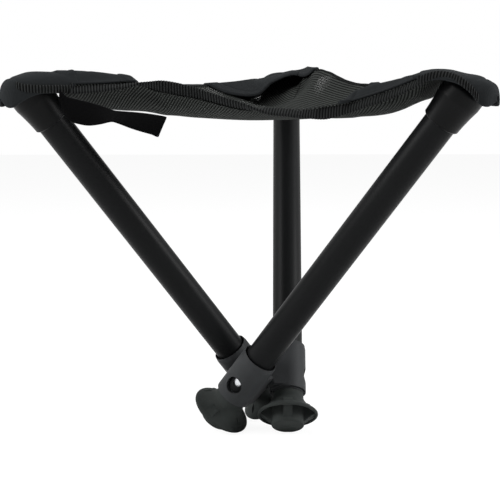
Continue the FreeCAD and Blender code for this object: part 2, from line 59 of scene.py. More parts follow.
# Shape values that the solid model shares. Millimetres, with z above the hub's centre.
MM = 0.001
HEADINGS = {"right": 330.0, "rear": 90.0, "left": 210.0}
LEG_TILT = math.radians(38.35)
LEG_OFFSET = 23.7
HUB_HEIGHT = next(j["pos_m"][2] for j in frame["joints"] if j["name"] == "fold_right") / MM
SEAT_START = 163.0
SEAT_START_HALF = 27.0
SEAT_EDGE_R = 84.0
SEAT_TIP_R = 205.0
SEAT_FLOOR = 209.0
SEAT_BAG_LENGTH = 24.0
TIP_AZIMUTH = -7.23
SEAM_GAP = 0.12

# The front edge tape, left to right: x, y, height of its free edge, height of its sewn edge
FRONT_TAPE = [
    (-139.5, -88.0, 234.8, 240.8),
    (-132.5, -86.7, 235.0, 240.8),
    (-120.8, -84.7, 235.6, 241.0),
    (-109.0, -83.1, 237.2, 241.2),
    (-97.0, -81.8, 239.4, 241.8),
    (-88.0, -81.1, 241.6, 241.0),
    (-74.0, -80.4, 243.8, 235.6),
    (-62.0, -80.2, 242.6, 233.0),
    (-50.6, -80.3, 239.8, 231.0),
    (-37.8, -80.8, 235.6, 228.4),
    (-25.8, -81.7, 231.4, 225.2),
    (-13.8, -82.9, 227.6, 222.6),
    (-5.5, -84.0, 224.6, 222.0),
    (6.5, -85.9, 219.4, 223.0),
    (24.4, -89.4, 217.2, 222.2),
    (33.2, -91.4, 216.4, 222.4),
    (48.7, -95.5, 215.2, 225.0),
    (60.3, -99.0, 217.6, 226.8),
    (69.6, -102.1, 221.0, 228.6),
    (81.0, -106.2, 225.0, 232.0),
    (88.0, -109.0, 227.2, 234.4),
    (98.5, -113.3, 231.2, 238.2),
    (109.4, -118.3, 236.4, 242.8),
    (115.8, -121.4, 239.6, 245.6),
]


# Property groups

def colour(name, description, value):
    return FloatVectorProperty(
        name=name, description=description, default=value, size=3, min=0, max=1, subtype="COLOR"
    )


def length(name, description, value, low, high):
    return FloatProperty(
        name=name, description=description, default=value * MM, min=low * MM, max=high * MM,
        unit="LENGTH",
    )


class StoolFinishes(bpy.types.PropertyGroup):
    coating: colour("Tube Coating", "Powder coat of the upper tubes", (0.0056, 0.0059, 0.0062))
    moulding: colour("Moulded Plastic", "Collars, rings and hub", (0.03, 0.0315, 0.033))
    cap: colour("Cap Plastic", "Caps on the leg tops", (0.0032, 0.0034, 0.0036))
    rubber: colour("Rubber", "Feet", (0.024, 0.027, 0.0258))
    aluminium: colour("Bare Aluminium", "Inner tubes", (0.62, 0.63, 0.65))
    steel: colour("Steel", "Screws, buttons and springs", (0.55, 0.55, 0.57))
    slide: colour("Slide Plastic", "Washers and guide bushes", (0.5, 0.5, 0.47))
    mesh: colour("Mesh", "Knitted seat mesh", (0.0175, 0.0188, 0.0178))
    cloth: colour("Corner Cloth", "Patches and pockets", (0.0128, 0.014, 0.0148))
    tape: colour("Edge Tape", "Binding round the seat", (0.0115, 0.0121, 0.0121))
    webbing: colour("Webbing", "Closing strap", (0.0014, 0.0014, 0.0015))


class StoolSeat(bpy.types.PropertyGroup):
    knit_pitch: length("Knit Pitch", "Distance between the mesh's rows of holes", 2.3, 1, 6)
    tape_width: length("Tape Width", "Width of the edge tape", 9.5, 4, 16)
    tape_rib: length("Tape Rib", "Distance between the edge tape's ribs", 2.2, 1, 5)
    cloth_thickness: length("Cloth Thickness", "Of the patches and the pockets", 1.6, 0.5, 3)
    rings: IntProperty(
        name="Rings", description="Steps from the seat's middle to its edge", default=64,
        min=16, max=160,
    )


class StoolStudio(bpy.types.PropertyGroup):
    floor: colour("Floor", "Colour of the floor and the backdrop", (1.0, 1.0, 1.0))
    key: FloatProperty(
        name="Key Light", description="Strength of the large lamp", default=33.0, min=0, unit="POWER"
    )
    fill: FloatProperty(
        name="World Light", description="Strength of the light from all round", default=0.1, min=0
    )
    lens: FloatProperty(
        name="Lens", description="Focal length in millimetres", default=88.92, min=10, max=300
    )


def finishes():
    return bpy.context.scene.stool_finishes


def seat_values():
    return bpy.context.scene.stool_seat


# Shader building

class Sock:
    """A shader socket that takes part in Python arithmetic."""

    def __init__(self, board, socket):
        self.board = board
        self.socket = socket

    def maths(self, operation, *values):
        return self.board.node("ShaderNodeMath", values, operation=operation)

    def __add__(self, other):
        return self.maths("ADD", self, other)

    def __sub__(self, other):
        return self.maths("SUBTRACT", self, other)

    def __mul__(self, other):
        return self.maths("MULTIPLY", self, other)

    def __radd__(self, other):
        return self.maths("ADD", other, self)

    def __rsub__(self, other):
        return self.maths("SUBTRACT", other, self)

    def __rmul__(self, other):
        return self.maths("MULTIPLY", other, self)

    def sine(self):
        return self.maths("SINE", self)

    def step(self, low, high):
        return self.board.node(
            "ShaderNodeMapRange", {0: self, 1: low, 2: high}, clamp=True,
            interpolation_type="SMOOTHSTEP",
        )


class Board:
    """One material, or the world, and its nodes."""

    def __init__(self, name, group="materials", shader="Principled BSDF", output="Material"):
        self.owner = getattr(bpy.data, group).new(name)
        self.owner.use_nodes = True
        self.tree = self.owner.node_tree
        self.shader = self.tree.nodes[shader]
        self.output = self.tree.nodes[output + " Output"]

    def node(self, kind, values=(), out=0, **settings):
        node = self.tree.nodes.new(kind)
        for key, value in settings.items():
            setattr(node, key, value)
        pairs = values.items() if isinstance(values, dict) else enumerate(values)
        for key, value in pairs:
            self.put(node.inputs[key], value)
        return Sock(self, node.outputs[out])

    def put(self, target, value):
        if isinstance(value, Sock):
            self.tree.links.new(value.socket, target)
        elif hasattr(value, "__len__") and len(value) == 3 and target.type == "RGBA":
            target.default_value = (*value, 1)
        else:
            target.default_value = value

    def set(self, **values):
        for name, value in values.items():
            self.put(self.shader.inputs[name.replace("_", " ")], value)

    def mix_out(self, share, other):
        """Shows another shader in place of the first one, by a share."""
        values = (share, Sock(self, self.shader.outputs[0]), other)
        self.put(self.output.inputs["Surface"], self.node("ShaderNodeMixShader", values))

    def place(self):
        return self.node("ShaderNodeTexCoord", out="Object")

    def cloth_place(self):
        return self.node("ShaderNodeUVMap", uv_map="cloth")

    def noise(self, scale, detail, rough, at=None):
        at = self.place() if at is None else at
        values = {"Vector": at, "Scale": scale, "Detail": detail, "Roughness": rough}
        return self.node("ShaderNodeTexNoise", values)

    def stretch(self, at, scale, turn=(0.0, 0.0, 0.0)):
        return self.node(
            "ShaderNodeMapping", {"Vector": at, "Scale": scale, "Rotation": turn},
            vector_type="POINT",
        )

    def cloth_parts(self):
        """The cloth coordinates along the two yarn directions."""
        first = self.node("ShaderNodeSeparateXYZ", (self.cloth_place(),))
        return [Sock(self, out) for out in first.socket.node.outputs][:2]

    def cloth_noise(self, scale, detail, rough, stretch=None):
        at = self.cloth_place()
        if stretch is not None:
            at = self.stretch(at, stretch)
        return self.noise(scale, detail, rough, at=at)

    def blend(self, share, first, second):
        values = {0: share, 6: first, 7: second}
        return self.node("ShaderNodeMix", values, out=2, data_type="RGBA")

    def shades(self, share, base, dark, light):
        return self.blend(share, tint(base, dark), tint(base, light))

    def bump(self, height, distance, strength, **under):
        values = {"Strength": strength, "Distance": distance, "Height": height, **under}
        return self.node("ShaderNodeBump", values)


def tint(value, factor):
    return tuple(min(1.0, part * factor) for part in value)


# Finishes

# How strongly each kind of surface mirrors what is round it
MOULDED_SHINE = 0.08
COATING_SHINE = 0.06
CLOTH_SHINE = 0.02
# Distance between the plain cloth's yarns, in metres
YARN_PITCH = 0.9 * MM


def moulded_finish(name, base, grain, rough):
    """Moulded plastic: a fine spark-eroded grain, faint flow marks and paler scuffed patches."""
    board = Board(name)
    flow = board.noise(28.0, 4.0, 0.55)
    speck = board.noise(1500.0, 2.0, 0.6)
    scuff = board.noise(160.0, 6.0, 0.7).step(0.58, 0.74)
    shade = board.shades(flow, base, 0.8, 1.25)
    board.set(
        Base_Color=board.blend(scuff * 0.25, shade, tint(base, 2.0)),
        Roughness=(rough + (flow - 0.5) * 0.1) + scuff * 0.08,
        Normal=board.bump(speck, 0.00006 * grain, 0.6),
        Specular_IOR_Level=MOULDED_SHINE,
    )
    return board.owner


def coated_finish():
    """Satin powder coat: orange peel, dust specks and slightly rubbed patches."""
    base = finishes().coating
    board = Board("tube_coating")
    peel = board.noise(700.0, 2.0, 0.45)
    cloud = board.noise(35.0, 3.0, 0.5)
    dust = board.noise(2600.0, 1.0, 0.5).step(0.68, 0.76)
    board.set(
        Base_Color=board.blend(dust * 0.35 + cloud * 0.1, base, tint(base, 3.2)),
        Roughness=0.4 + (cloud - 0.5) * 0.14,
        Normal=board.bump(peel, 0.00005, 0.5),
        Specular_IOR_Level=COATING_SHINE,
    )
    return board.owner


def leg_lines(board, side):
    """Coordinates turned so that their z runs along one leg."""
    heading = math.radians(HEADINGS[side])
    return board.stretch(board.stretch(board.place(), (1, 1, 1), (0, 0, -heading)), (1, 1, 1),
                         (0, -LEG_TILT, 0))


def aluminium_finish(side):
    """Drawn tube: fine lines along the leg, a satin sheen and small handling marks."""
    base = finishes().aluminium
    board = Board("bare_aluminium_" + side)
    along = leg_lines(board, side)
    draw = board.noise(1.0, 3.0, 0.6, at=board.stretch(along, (1500.0, 1500.0, 14.0)))
    cloud = board.noise(40.0, 3.0, 0.5)
    board.set(
        Base_Color=board.shades(draw, base, 0.86, 1.08),
        Metallic=1.0,
        Roughness=0.3 + draw * 0.12 + (cloud - 0.5) * 0.08,
        Normal=board.bump(draw, 0.00002, 0.4),
    )
    return board.owner


def steel_finish(name, factor, rough):
    """Steel with fine drawn lines; the factor darkens it."""
    base = tint(finishes().steel, factor)
    board = Board(name)
    brushed = board.noise(1.0, 3.0, 0.6, at=board.stretch(board.place(), (220.0, 2200.0, 900.0)))
    board.set(
        Base_Color=board.shades(brushed, base, 0.85, 1.1),
        Metallic=1.0,
        Roughness=rough + brushed * 0.15,
        Normal=board.bump(brushed, 0.00002, 0.3),
    )
    return board.owner


def rubber_finish():
    """Dull rubber: fine bloom, a soft mottling and patches of dust."""
    base = finishes().rubber
    board = Board("foot_rubber")
    bloom = board.noise(60.0, 5.0, 0.6)
    grain = board.noise(900.0, 3.0, 0.6)
    dust = board.noise(240.0, 5.0, 0.7).step(0.55, 0.75)
    shade = board.shades(bloom, base, 0.75, 1.35)
    board.set(
        Base_Color=board.blend(dust * 0.3, shade, tint(base, 2.2)),
        Roughness=0.62 + bloom * 0.16,
        Normal=board.bump(grain, 0.00008, 0.5),
        Specular_IOR_Level=MOULDED_SHINE,
    )
    return board.owner


def knit_finish():
    """Warp-knit mesh: staggered rows of small holes between plaited ribs."""
    base = finishes().mesh
    pitch = seat_values().knit_pitch
    board = Board("mesh_cloth")
    across, along = board.cloth_parts()
    wander = board.cloth_noise(90.0, 2.0, 0.5) * 0.6
    turn = 2 * math.pi / pitch
    rib = ((across + along * 0.35) * turn + wander).sine()
    row = ((along - across * 0.35) * (turn / 1.15) + wander).sine()
    lattice = rib * row
    hole = lattice.step(0.66, 0.8)
    yarn = board.cloth_noise(2600.0, 2.0, 0.6)
    height = (1 - hole) * (0.55 + rib * 0.25 + yarn * 0.3)
    # Painted sheen on the rib crests and painted shade in the gaps between the ribs, varied by the
    # yarn noise
    painted_rib_sheen = (rib * 0.5 + 0.5) * (0.6 + yarn * 0.8)
    board.set(
        Base_Color=board.shades(painted_rib_sheen, base, 0.12, 3.0),
        Roughness=0.72 + yarn * 0.15,
        Normal=board.bump(height, 0.0005, 0.9),
        Alpha=1 - hole,
        Specular_IOR_Level=CLOTH_SHINE,
    )
    board.owner.surface_render_method = "DITHERED"
    return board.owner


def plain_cloth_finish():
    """Close plain-woven cloth: crossing yarns, uneven dye and a faint lint."""
    base = finishes().cloth
    board = Board("plain_cloth")
    across, along = board.cloth_parts()
    turn = 2 * math.pi / YARN_PITCH
    weave = (across * turn).sine() * (along * turn).sine()
    cloud = board.cloth_noise(45.0, 4.0, 0.6)
    lint = board.cloth_noise(1300.0, 3.0, 0.65)
    crease = board.cloth_noise(70.0, 3.0, 0.55, (1, 2.4, 1))
    shade = board.shades(cloud, base, 0.82, 1.25)
    first = board.bump(crease, 0.0012, 0.35)
    board.set(
        Base_Color=board.blend((weave * 0.5 + 0.5) * 0.35 + lint * 0.25, shade, tint(base, 2.1)),
        Roughness=0.7 + lint * 0.12,
        Normal=board.bump(weave * 0.6 + lint, 0.00016, 0.6, Normal=first),
        Specular_IOR_Level=CLOTH_SHINE,
    )
    return board.owner


def tape_finish():
    """Ribbed edge tape: yarn bundles across it, with painted highlights on them and painted shade in
    the gaps between them.
    """
    base = finishes().tape
    rib = seat_values().tape_rib
    board = Board("ribbed_tape")
    along = board.cloth_parts()[0]
    wander = board.cloth_noise(120.0, 2.0, 0.5) * 0.8
    ribs = (along * (2 * math.pi / rib) + wander).sine()
    yarn = board.cloth_noise(1.0, 3.0, 0.6, (2600.0, 900.0, 1.0))
    fleck = board.cloth_noise(800.0, 3.0, 0.6)
    # Painted highlights on the rib crests and painted shade in the gaps between the ribs, varied by
    # the yarn noise
    light = (ribs * 0.5 + 0.5) * (0.4 + yarn * 0.9)
    board.set(
        Base_Color=board.shades(light, base, 0.12, 2.9),
        Roughness=0.75 + fleck * 0.12,
        Normal=board.bump(ribs * 0.7 + yarn * 0.5, 0.0003, 0.7),
        Specular_IOR_Level=CLOTH_SHINE,
    )
    return board.owner


def webbing_finish():
    """Hook and loop webbing: a short pile with lint on it."""
    base = finishes().webbing
    board = Board("strap_webbing")
    pile = board.cloth_noise(1500.0, 4.0, 0.75)
    lint = board.cloth_noise(500.0, 5.0, 0.8).step(0.6, 0.78)
    board.set(
        Base_Color=board.blend(lint * 0.5 + pile * 0.3, base, tint(base, 7.0)),
        Roughness=0.8 + pile * 0.15,
        Normal=board.bump(pile, 0.0005, 0.9),
        Specular_IOR_Level=CLOTH_SHINE,
    )
    return board.owner


def finish(name, make):
    """A material by name, made the first time that a piece asks for it."""
    found = bpy.data.materials.get(name)
    return found if found is not None else make()


# Geometry

# Steps round a sheet's rolled edge, round a tape and round a foot
EDGE_STEPS = 3
TAPE_CORNERS = 16
FOOT_SEGMENTS = 96
# How far across a tape's cloth coordinates move on its underside
UNDERSIDE = 20.0


def turned(x, y, degrees):
    """A plan point turned about the hub."""
    angle = math.radians(degrees)
    return (
        x * math.cos(angle) - y * math.sin(angle),
        x * math.sin(angle) + y * math.cos(angle),
    )


def smooth(low, high, value):
    """An even rise from 0 at the low value to 1 at the high one."""
    share = clamp((value - low) / (high - low))
    return share * share * (3 - 2 * share)


def clamp(value):
    """A share kept from 0 to 1."""
    return min(max(value, 0.0), 1.0)


def squarer(value, power):
    """A sine or cosine bent towards a square section by a power below 1."""
    return math.copysign(abs(value) ** power, value)


def run_lengths(points):
    """The length of a line of points up to each of them."""
    lengths = [0.0]
    for a, b in zip(points, points[1:]):
        lengths.append(lengths[-1] + (b - a).length)
    return lengths


def between(rows, at, column):
    """Smooth reading of one column of a table, by its first column."""
    if at <= rows[0][0]:
        return rows[0][column]
    if at >= rows[-1][0]:
        return rows[-1][column]
    number = next(i for i in range(len(rows) - 1) if at <= rows[i + 1][0])

    def slope(i):
        low, high = rows[max(i - 1, 0)], rows[min(i + 1, len(rows) - 1)]
        return (high[column] - low[column]) / (high[0] - low[0])

    a, b = rows[number], rows[number + 1]
    width = b[0] - a[0]
    share = (at - a[0]) / width
    square, cube = share ** 2, share ** 3
    return (
        a[column] * (2 * cube - 3 * square + 1)
        + b[column] * (3 * square - 2 * cube)
        + slope(number) * width * (cube - 2 * square + share)
        + slope(number + 1) * width * (cube - square)
    )


def leg_to_world(x, y, z, side):
    """From the leg's own frame, x outward, y towards the hub and z up the leg."""
    y -= LEG_OFFSET
    flat = x * math.cos(LEG_TILT) + z * math.sin(LEG_TILT)
    rise = -x * math.sin(LEG_TILT) + z * math.cos(LEG_TILT)
    return Vector((*turned(flat, y, HEADINGS[side]), rise))


def seat_to_world(out, beside, rise, side):
    """From the level frame of one leg: outward, sideways and up from the hub."""
    return Vector((*turned(out, beside, HEADINGS[side]), rise))


def make_object(name, points, faces, material, uvs=None):
    """A mesh object from points in millimetres above the hub."""
    mesh = bpy.data.meshes.new(name)
    raised = [(p[0] * MM, p[1] * MM, (p[2] + HUB_HEIGHT) * MM) for p in points]
    mesh.from_pydata(raised, [], faces)
    if uvs is not None:
        layer = mesh.uv_layers.new(name="cloth")
        for loop in mesh.loops:
            u, v = uvs[loop.vertex_index]
            layer.data[loop.index].uv = (u * MM, v * MM)
    mesh.validate()
    work = bmesh.new()
    work.from_mesh(mesh)
    bmesh.ops.recalc_face_normals(work, faces=work.faces)
    work.to_mesh(mesh)
    work.free()
    mesh.shade_smooth()
    mesh.materials.append(material)
    item = bpy.data.objects.new(name, mesh)
    bpy.context.scene.collection.objects.link(item)
    return item


def grid_normals(grid):
    """The normal of the middle surface at each point of a grid."""
    rows, columns = len(grid), len(grid[0])
    normals = []
    for i in range(rows):
        line = []
        for j in range(columns):
            a = grid[min(i + 1, rows - 1)][j] - grid[max(i - 1, 0)][j]
            b = grid[i][min(j + 1, columns - 1)] - grid[i][max(j - 1, 0)]
            cross = a.cross(b)
            if cross.length < 1e-9:
                cross = Vector((0, 0, 1))
            line.append(cross.normalized())
        normals.append(line)
    return normals


def thick_sheet(name, grid, thickness, material, uv=None):
    """A closed sheet with rounded edges round a grid of points on its middle surface."""
    rows, columns = len(grid), len(grid[0])
    normals = grid_normals(grid)
    thick = thickness if callable(thickness) else lambda i, j: thickness
    points, uvs, faces = [], [], []

    def add(p, i, j):
        points.append(p)
        uvs.append(uv(i, j) if uv else (grid[i][j].x, grid[i][j].y))
        return len(points) - 1

    top, low = (
        [[add(grid[i][j] + normals[i][j] * (way * thick(i, j) / 2), i, j) for j in range(columns)]
         for i in range(rows)]
        for way in (1, -1)
    )
    for i in range(rows - 1):
        for j in range(columns - 1):
            faces.append((top[i][j], top[i + 1][j], top[i + 1][j + 1], top[i][j + 1]))
            faces.append((low[i][j], low[i][j + 1], low[i + 1][j + 1], low[i + 1][j]))
    rim = [(i, 0) for i in range(rows)] + [(rows - 1, j) for j in range(1, columns)]
    rim += [(i, columns - 1) for i in range(rows - 2, -1, -1)]
    rim += [(0, j) for j in range(columns - 2, 0, -1)]
    loops = [[top[i][j] for i, j in rim]]
    for step in range(1, EDGE_STEPS):
        angle = math.pi * step / EDGE_STEPS
        loop = []
        for number, (i, j) in enumerate(rim):
            before, after = rim[number - 1], rim[(number + 1) % len(rim)]
            along = grid[after[0]][after[1]] - grid[before[0]][before[1]]
            out = normals[i][j].cross(along)
            inward = grid[min(max(i, 1), rows - 2)][min(max(j, 1), columns - 2)] - grid[i][j]
            if out.dot(inward) > 0:
                out = -out
            out = out.normalized() if out.length > 1e-9 else Vector((0, 0, 0))
            half = thick(i, j) / 2
            p = grid[i][j] + normals[i][j] * half * math.cos(angle) + out * half * math.sin(angle)
            loop.append(add(p, i, j))
        loops.append(loop)
    loops.append([low[i][j] for i, j in rim])
    for a, b in zip(loops, loops[1:]):
        for number in range(len(rim)):
            other = (number + 1) % len(rim)
            faces.append((a[number], b[number], b[other], a[other]))
    return make_object(name, points, faces, material, uvs)


def tape_section(wide_power, high_power):
    """Points round a tape's rounded section, from -1 to 1 across it and through it."""
    angles = [2 * math.pi * corner / TAPE_CORNERS for corner in range(TAPE_CORNERS)]
    return [
        (squarer(math.cos(angle), wide_power), squarer(math.sin(angle), high_power))
        for angle in angles
    ]


def tape_object(name, runs, material):
    """Closed skins over runs of rings of points, where each ring is closed on itself."""
    points, faces, uvs = [], [], []
    for rings, places in runs:
        count, base = len(rings[0]), len(points)
        for ring, marks in zip(rings, places):
            points += ring
            uvs += marks
        last = base + (len(rings) - 1) * count
        for low in range(base, last, count):
            for j in range(count):
                k = (j + 1) % count
                faces.append((low + j, low + k, low + count + k, low + count + j))
        faces.append(tuple(base + j for j in range(count)))
        faces.append(tuple(last + j for j in reversed(range(count))))
    return make_object(name, points, faces, material, uvs)


def turned_solid(profile):
    """Points and faces of a closed profile of (radius, height) turned about z."""
    points, faces = [], []
    count = len(profile)
    for number in range(FOOT_SEGMENTS):
        angle = 2 * math.pi * number / FOOT_SEGMENTS
        points += [
            Vector((radius * math.cos(angle), radius * math.sin(angle), height))
            for radius, height in profile
        ]
    for number in range(FOOT_SEGMENTS):
        a, b = number * count, (number + 1) % FOOT_SEGMENTS * count
        for j in range(count - 1):
            faces.append((a + j, b + j, b + j + 1, a + j + 1))
    return points, faces


# The seat's surface

def edge_circle(facing):
    """Centre and radius of one hollow edge, from its two ends and its middle."""
    ends = [
        turned(SEAT_START, SEAT_START_HALF - LEG_OFFSET, -60 - TIP_AZIMUTH),
        turned(SEAT_START, -SEAT_START_HALF - LEG_OFFSET, 60 - TIP_AZIMUTH),
    ]
    chord = (ends[0][0] + ends[1][0]) / 2
    half = abs(ends[1][1] - ends[0][1]) / 2
    hollow = chord - SEAT_EDGE_R
    radius = (half ** 2 + hollow ** 2) / (2 * hollow)
    return turned(SEAT_EDGE_R + radius, 0, facing), radius


EDGES = {name: edge_circle(facing + TIP_AZIMUTH) for name, facing in (
    ("front", 270.0), ("far_left", 150.0), ("far_right", 30.0)
)}
# The edge on each side of a leg, clockwise first as seen from above
LEG_EDGES = {
    "right": ("front", "far_right"), "rear": ("far_right", "far_left"),
    "left": ("far_left", "front"),
}
# Heights of the other edges' tape, by the share of the way along: free edge, sewn edge
FAR_TAPE = {
    "far_left": [
        (0.0, 236.0, 243.0), (0.12, 237.5, 243.0), (0.25, 239.0, 241.5), (0.5, 240.0, 239.0),
        (0.75, 238.0, 240.5), (0.88, 236.5, 243.0), (1.0, 235.0, 244.0),
    ],
    "far_right": [
        (0.0, 236.0, 244.0), (0.12, 237.0, 243.0), (0.3, 239.0, 240.0), (0.42, 240.0, 241.0),
        (0.5, 242.0, 244.5), (0.6, 246.0, 250.5), (0.7, 248.6, 253.4), (0.8, 247.4, 253.0),
        (0.9, 244.0, 250.5), (1.0, 240.5, 247.5),
    ],
}
# Crests beside the front edge tape: x, and how far the cloth rises above the sewn edge
FRONT_CREST = [
    (-140.0, 9.6), (-122.0, 8.4), (-104.0, 5.6), (-96.0, 3.8), (-88.0, 1.2), (-74.0, 0.0),
    (48.0, 0.0), (60.0, 6.0), (66.0, 11.0), (72.0, 13.5), (81.0, 13.4), (98.0, 9.2),
    (110.0, 6.2), (116.0, 4.2),
]


def edge_ends(name):
    """The angles on an edge's circle where the edge starts and ends, left to right."""
    cx, cy = EDGES[name][0]
    legs = {"front": ("left", "right"), "far_right": ("right", "rear"),
            "far_left": ("rear", "left")}[name]
    angles = []
    for leg, half in zip(legs, (SEAT_START_HALF, -SEAT_START_HALF)):
        x, y = turned(SEAT_START, half - LEG_OFFSET, HEADINGS[leg])
        angles.append(math.atan2(y - cy, x - cx))
    if abs(angles[1] - angles[0]) > math.pi:
        angles[1] += 2 * math.pi if angles[1] < angles[0] else -2 * math.pi
    return angles


EDGE_ENDS = {name: edge_ends(name) for name in EDGES}


def edge_point(name, share, inset=0.0):
    """The plan point at a share of an edge's length, and an inset from its free side."""
    (cx, cy), radius = EDGES[name]
    start, end = EDGE_ENDS[name]
    angle = start + (end - start) * share
    return (cx + (radius + inset) * math.cos(angle), cy + (radius + inset) * math.sin(angle))


def edge_share(name, x, y):
    """How far along an edge a plan point lies: 0 at its start and 1 at its end."""
    cx, cy = EDGES[name][0]
    start, end = EDGE_ENDS[name]
    angle = math.atan2(y - cy, x - cx)
    while angle - start > math.pi:
        angle -= 2 * math.pi
    while angle - start < -math.pi:
        angle += 2 * math.pi
    return (angle - start) / (end - start)


def edge_depth(name, x, y):
    """How far in from an edge a plan point lies."""
    (cx, cy), radius = EDGES[name]
    return math.hypot(x - cx, y - cy) - radius


FRONT_ROWS = [
    (edge_share("front", x, y), free, sewn) for x, y, free, sewn in FRONT_TAPE
]


# The tape's least width in plan, where it stands steeply
LEAST_INSET = 3.0
# How far in from an edge its cloth starts and ends its rise: beside the front tape, then elsewhere
FRONT_RISE = (4.0, 14.0)
FAR_RISE = (4.0, 22.0)
# The rise of the other edges' cloth, and the share from the middle to an end where it starts
FAR_CREST = 6.0
FAR_CREST_START = 0.62


def tape_rows(name):
    return FRONT_ROWS if name == "front" else FAR_TAPE[name]


def tape_inset(name, share):
    """How far in the tape's sewn edge lies, in plan."""
    rise = between(tape_rows(name), share, 2) - between(tape_rows(name), share, 1)
    width = seat_values().tape_width / MM
    return math.sqrt(max(width ** 2 - rise ** 2, LEAST_INSET ** 2))


def edge_height(name, x, y):
    """Height of the cloth where it comes off one edge, at a point's place along that edge."""
    share = edge_share(name, x, y)
    height = between(tape_rows(name), share, 2)
    depth = edge_depth(name, x, y)
    if name == "front":
        across = edge_point(name, clamp(share))[0]
        height += between(FRONT_CREST, across, 1) * smooth(*FRONT_RISE, depth)
    else:
        crest = FAR_CREST * smooth(FAR_CREST_START, 1.0, abs(2 * share - 1))
        height += crest * smooth(*FAR_RISE, depth)
    return height


# The rear corner's cloth stands up in a rounded fold: its middle in plan, reach and rise
REAR_FOLD = (30.0, 138.0, 26.0, 22.0, 6.0)
# Softens the pull of the nearest edge on the cloth's height
EDGE_SOFTNESS = 12.0
# How far the cloth stays up behind the front tape's left end, and the shares where that fades
FRONT_HOLD = 9.0
HOLD_FADE = (0.14, 0.3)
# Shares of the way to a tip where the bag starts to rise and where it has gone
BAG_END = (0.5, 0.92)
BAG_LIFT = 1.5
# The mesh's sag under the corner cloths: its depth, where it grows and fades by how far out
# a point is, and how it grows from the tape's sewn edge
SAG_DEPTH = 13.0
SAG_GROWS = (70.0, 140.0)
SAG_FADES = (152.0, 169.0)
SAG_FROM_TAPE = (-2.0, 9.0)


def seat_height(x, y):
    """Height of the sling: its edges' heights blended, and a bag in the middle."""
    total = weight = 0.0
    bag = 1.0
    for name in EDGES:
        depth = max(edge_depth(name, x, y), 0.0)
        pull = 1 / (depth ** 2 + EDGE_SOFTNESS)
        total += pull * edge_height(name, x, y)
        weight += pull
        share = clamp(edge_share(name, x, y))
        hold = FRONT_HOLD * (1 - smooth(*HOLD_FADE, share)) if name == "front" else 0.0
        hold += tape_inset(name, share)
        bag *= 1 - math.exp(-max(depth - hold, 0.0) / SEAT_BAG_LENGTH)
    for heading in HEADINGS.values():
        along = turned(x, y, -heading - TIP_AZIMUTH)[0] / SEAT_TIP_R
        bag *= 1 - smooth(*BAG_END, along)
    edge = total / weight
    fx, fy, wide, deep, rise = REAR_FOLD
    edge += rise * math.exp(-((x - fx) / wide) ** 2 - ((y - fy) / deep) ** 2)
    return edge + (SEAT_FLOOR + BAG_LIFT - edge) * bag


def mesh_height(x, y):
    """The mesh hangs slack under the corner cloths, in front of each leg."""
    sag = 0.0
    for heading in HEADINGS.values():
        out = turned(x, y, -heading)[0]
        share = smooth(*SAG_GROWS, out) * (1 - smooth(*SAG_FADES, out))
        sag = max(sag, SAG_DEPTH * share)
    for name in EDGES:
        share = clamp(edge_share(name, x, y))
        sag *= smooth(*SAG_FROM_TAPE, edge_depth(name, x, y) - tape_inset(name, share))
    return seat_height(x, y) - sag


# Each corner patch's hem in the leg's level frame: sideways place, and how far out it runs
HEMS = {
    "right": [(-60.0, 99.0), (-46.0, 101.8), (-20.0, 105.0), (-10.0, 103.0), (9.0, 96.0),
              (40.0, 80.0)],
    "rear": [(-60.0, 88.0), (-47.0, 100.0), (-30.0, 136.0), (-10.0, 136.0), (2.0, 112.0),
             (12.0, 94.0), (30.0, 74.0), (50.0, 62.0)],
    "left": [(-80.0, 88.0), (-50.0, 100.0), (-20.0, 115.0), (0.0, 118.0), (18.0, 115.5),
             (30.0, 113.0)],
}


def hem_gap(x, y, side):
    """How far outward a point lies beyond a corner patch's hem."""
    out, beside = turned(x, y, -HEADINGS[side])
    return out - between(HEMS[side], beside, 1)


# How far the cloth runs into the tape and into the hood, and steps across its outer end
TAPE_LAP = 2.5
HOOD_LAP = 6.0
TIP_STEPS = 12


def boundary(side, steps):
    """Plan points round one leg's third, between the middles of its two edges."""
    runs = []
    for name, start in zip(LEG_EDGES[side], (0.5, 0.0)):
        shares = [start + 0.5 * step / (steps - 1) for step in range(steps)]
        runs.append([
            edge_point(name, share, tape_inset(name, share) - TAPE_LAP) for share in shares
        ])
    tip = []
    for step in range(1, TIP_STEPS):
        half = -SEAT_START_HALF + 2 * SEAT_START_HALF * step / TIP_STEPS
        tip.append(turned(SEAT_START + HOOD_LAP, half - LEG_OFFSET, HEADINGS[side]))
    return runs[0] + tip + runs[1]


def spokes(side, steps):
    """Plan ends of the rays from the seat's middle, with the seam's gap taken off."""
    ends = [Vector(p) for p in boundary(side, steps)]
    tip = Vector(turned(1.0, 0.0, HEADINGS[side] + TIP_AZIMUTH))
    centre = tip * (SEAM_GAP / math.sin(math.radians(60)))
    return centre, [end + tip * SEAM_GAP if n in (0, len(ends) - 1) else end
                    for n, end in enumerate(ends)]


# Steps of a search that halves its range each time
HALVINGS = 24


def spoke_hem(centre, end, side):
    """The share of a ray where it meets the hem, or 1 if it never does."""
    low, high = 0.0, 1.0
    if hem_gap(end.x, end.y, side) <= 0:
        return 1.0
    for _ in range(HALVINGS):
        middle = (low + high) / 2
        p = centre.lerp(end, middle)
        if hem_gap(p.x, p.y, side) > 0:
            high = middle
        else:
            low = middle
    return high


# The cut rectangle's margin over the cloth's length, and the least share of it that is cloth
CUT_MARGIN = 1.02
LEAST_SHARE = 0.32


